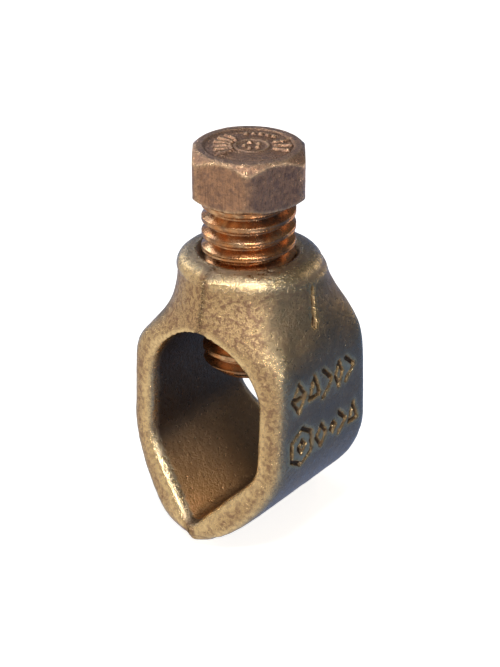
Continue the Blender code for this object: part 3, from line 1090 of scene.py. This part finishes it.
def cast_bronze():
    material, shader = principled("cast_bronze", BRONZE_TAN, 0.36, 1.0)
    tree = material.node_tree
    fine = noise_node(tree, 0.17 * MM, 3.0, 0.6)
    curls = noise_node(tree, 0.46 * MM, 6.0, 0.68)
    broad = noise_node(tree, 2.4 * MM, 5.0, 0.6)
    place = node(tree, "ShaderNodeSeparateXYZ")
    link(tree, node(tree, "ShaderNodeTexCoord").outputs["Object"], place.inputs["Vector"])
    colour = layer(tree, spread(tree, curls, 0.48, 0.57), BRONZE_TAN, BRONZE_ROSE)
    colour = layer(tree, spread(tree, fine, 0.52, 0.66, 0.0, 0.8), colour, BRONZE_ROSE)
    # Partly painted shade: the grey-brown film goes on the faces turned away from the front, so the sides read
    # darker.
    film = sums(tree, "SUBTRACT", 1.0, stored(tree, "front"))
    film = sums(tree, "MULTIPLY", film, spread(tree, broad, 0.30, 0.60, 0.55, 1.0))
    # Painted shade: the film is darker on the upper sides, from the arch up to the collar.
    upper_shade = spread(tree, place.outputs["Z"], ARCH_START, ROOF_HEIGHT)
    upper_shade = sums(tree, "MULTIPLY", upper_shade, spread(tree, place.outputs["Z"], NECK_START, BODY_HEIGHT, 1.0, 0.3))
    colour = layer(tree, film, colour, layer(tree, upper_shade, BRONZE_FILM_AND_SHADE, BRONZE_UPPER_SHADE))
    # Painted shade lines the opening, with a painted orange glow low on the seat, strongest towards the front.
    seat = spread(tree, place.outputs["Z"], SEAT_START, 0.35 * SEAT_START)
    seat = sums(tree, "MULTIPLY", seat, spread(tree, place.outputs["Y"], 0.3 * HALF_DEPTH, -0.7 * HALF_DEPTH))
    lining_shade_and_glow = layer(tree, seat, BRONZE_INSIDE_SHADE, BRONZE_SEAT_GLOW)
    colour = layer(tree, sums(tree, "MULTIPLY", stored(tree, "inside"), 0.85), colour, lining_shade_and_glow)
    # Rubbed edges, partly painted highlight.
    edge = sums(tree, "MULTIPLY", stored(tree, "edge"), spread(tree, curls, 0.35, 0.60, 1.0, 0.55))
    colour = layer(tree, edge, colour, BRONZE_WEAR_AND_HIGHLIGHT)
    # Darker in hollows, in the marks and in specks along the parting line.
    darkened = sums(tree, "MULTIPLY", stored(tree, "hollow"), spread(tree, fine, 0.35, 0.6, 0.9, 0.4))
    darkened = sums(tree, "MAXIMUM", darkened, sums(tree, "MULTIPLY", stored(tree, "mark"), 0.80))
    specks = sums(tree, "MULTIPLY", stored(tree, "seam"), spread(tree, fine, 0.40, 0.56))
    darkened = sums(tree, "MAXIMUM", darkened, sums(tree, "MULTIPLY", specks, 0.9))
    colour = layer(tree, darkened, colour, BRONZE_DARK)
    # Golden lips round the marks, partly painted highlight.
    colour = layer(tree, sums(tree, "MULTIPLY", stored(tree, "lip"), 0.7), colour, BRONZE_GOLD_AND_HIGHLIGHT)
    link(tree, colour, shader.inputs["Base Color"])
    dull = spread(tree, curls, 0.38, 0.62, 0.27, 0.42)
    polish = sums(tree, "MULTIPLY", stored(tree, "edge"), 0.18)
    link(tree, sums(tree, "SUBTRACT", dull, polish), shader.inputs["Roughness"])
    grainy = sums(tree, "MULTIPLY", fine, spread(tree, stored(tree, "front"), 0.0, 1.0, 0.35, 1.0))
    worn_flat = spread(tree, stored(tree, "edge"), 0.0, 1.0, 1.0, 0.15)
    bumps(tree, shader, [(sums(tree, "MULTIPLY", curls, worn_flat), 0.19 * MM), (grainy, 0.055 * MM)])
    return material


bronze = cast_bronze()
print("cast bronze:", len(bronze.node_tree.nodes), "nodes")

# %% [markdown]
# The bolt: copper-brown with a purple-brown film and fine upright scratches from the wrench on its head, orange on
# its thread, and rubbed bright on its crests and edges, a brightness that is partly painted highlight.

# %% Bolt bronze
COPPER_BROWN = (0.57, 0.345, 0.235)
COPPER_FILM = (0.27, 0.18, 0.16)
COPPER_ORANGE = (0.64, 0.31, 0.14)
COPPER_DULL = (0.34, 0.21, 0.14)
COPPER_SHADE = (0.16, 0.10, 0.075)
COPPER_WEAR_AND_HIGHLIGHT = (0.96, 0.74, 0.50)


def bolt_bronze():
    material, shader = principled("bolt_bronze", COPPER_BROWN, 0.32, 1.0)
    tree = material.node_tree
    fine = noise_node(tree, 0.22 * MM, 3.0, 0.6)
    curls = noise_node(tree, 0.6 * MM, 6.0, 0.68)
    broad = noise_node(tree, 1.6 * MM, 5.0, 0.6)
    colour = layer(tree, spread(tree, curls, 0.45, 0.62, 0.0, 0.85), COPPER_BROWN, COPPER_FILM)
    scratches = noise_node(tree, 0.9 * MM, 5.0, 0.7, (6.0, 6.0, 0.7))
    colour = layer(tree, spread(tree, scratches, 0.50, 0.60, 0.0, 0.40), colour, COPPER_SHADE)
    where = node(tree, "ShaderNodeSeparateXYZ")
    link(tree, node(tree, "ShaderNodeTexCoord").outputs["Object"], where.inputs["Vector"])
    shank_zone = spread(tree, where.outputs["Z"], HEAD_BOTTOM + 0.05 * MM, HEAD_BOTTOM - 0.2 * MM)
    shank_tone = layer(tree, spread(tree, broad, 0.40, 0.62), COPPER_ORANGE, COPPER_DULL)
    colour = layer(tree, shank_zone, colour, shank_tone)
    # Rubbed crests and edges, partly painted highlight.
    edge = sums(tree, "MULTIPLY", stored(tree, "edge"), spread(tree, curls, 0.35, 0.58, 1.0, 0.3))
    colour = layer(tree, edge, colour, COPPER_WEAR_AND_HIGHLIGHT)
    on_head = sums(tree, "SUBTRACT", 1.0, shank_zone)
    hollow = sums(tree, "MULTIPLY", stored(tree, "hollow"), 0.6)
    colour = layer(tree, sums(tree, "MULTIPLY", hollow, on_head), colour, COPPER_SHADE)
    pits = sums(tree, "MULTIPLY", spread(tree, fine, 0.56, 0.68, 0.0, 0.6), on_head)
    colour = layer(tree, pits, colour, COPPER_SHADE)
    link(tree, colour, shader.inputs["Base Color"])
    dull = spread(tree, curls, 0.38, 0.62, 0.26, 0.38)
    smooth_shank = sums(tree, "MULTIPLY", shank_zone, 0.06)
    link(tree, sums(tree, "SUBTRACT", dull, smooth_shank), shader.inputs["Roughness"])
    bumps(tree, shader, [
        (curls, 0.050 * MM),
        (sums(tree, "MULTIPLY", fine, on_head), 0.026 * MM),
        (sums(tree, "MULTIPLY", spread(tree, scratches, 0.42, 0.60), on_head), 0.026 * MM),
    ])
    return material


copper = bolt_bronze()
print("bolt bronze:", len(copper.node_tree.nodes), "nodes")

# %% [markdown]
# ## Hand the pieces to the frame
#
# Each detailed piece replaces the plain solid it was modelled on, and rides on the same body, so it moves with it.
# The bolt is one real piece, so it stands for both of the solids that make it in the frame.

# %% Ride, replace and finish
SHARP = math.radians(38)
for item, material in ((body, bronze), (bolt, copper)):
    item.data.materials.clear()
    item.data.materials.append(material)
    item.data.shade_smooth()
    item.data.set_sharp_from_angle(angle=SHARP)

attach(body, "clamp")
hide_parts("clamp_body")
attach(bolt, "bolt")
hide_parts("hex_bolt", "bolt_point")
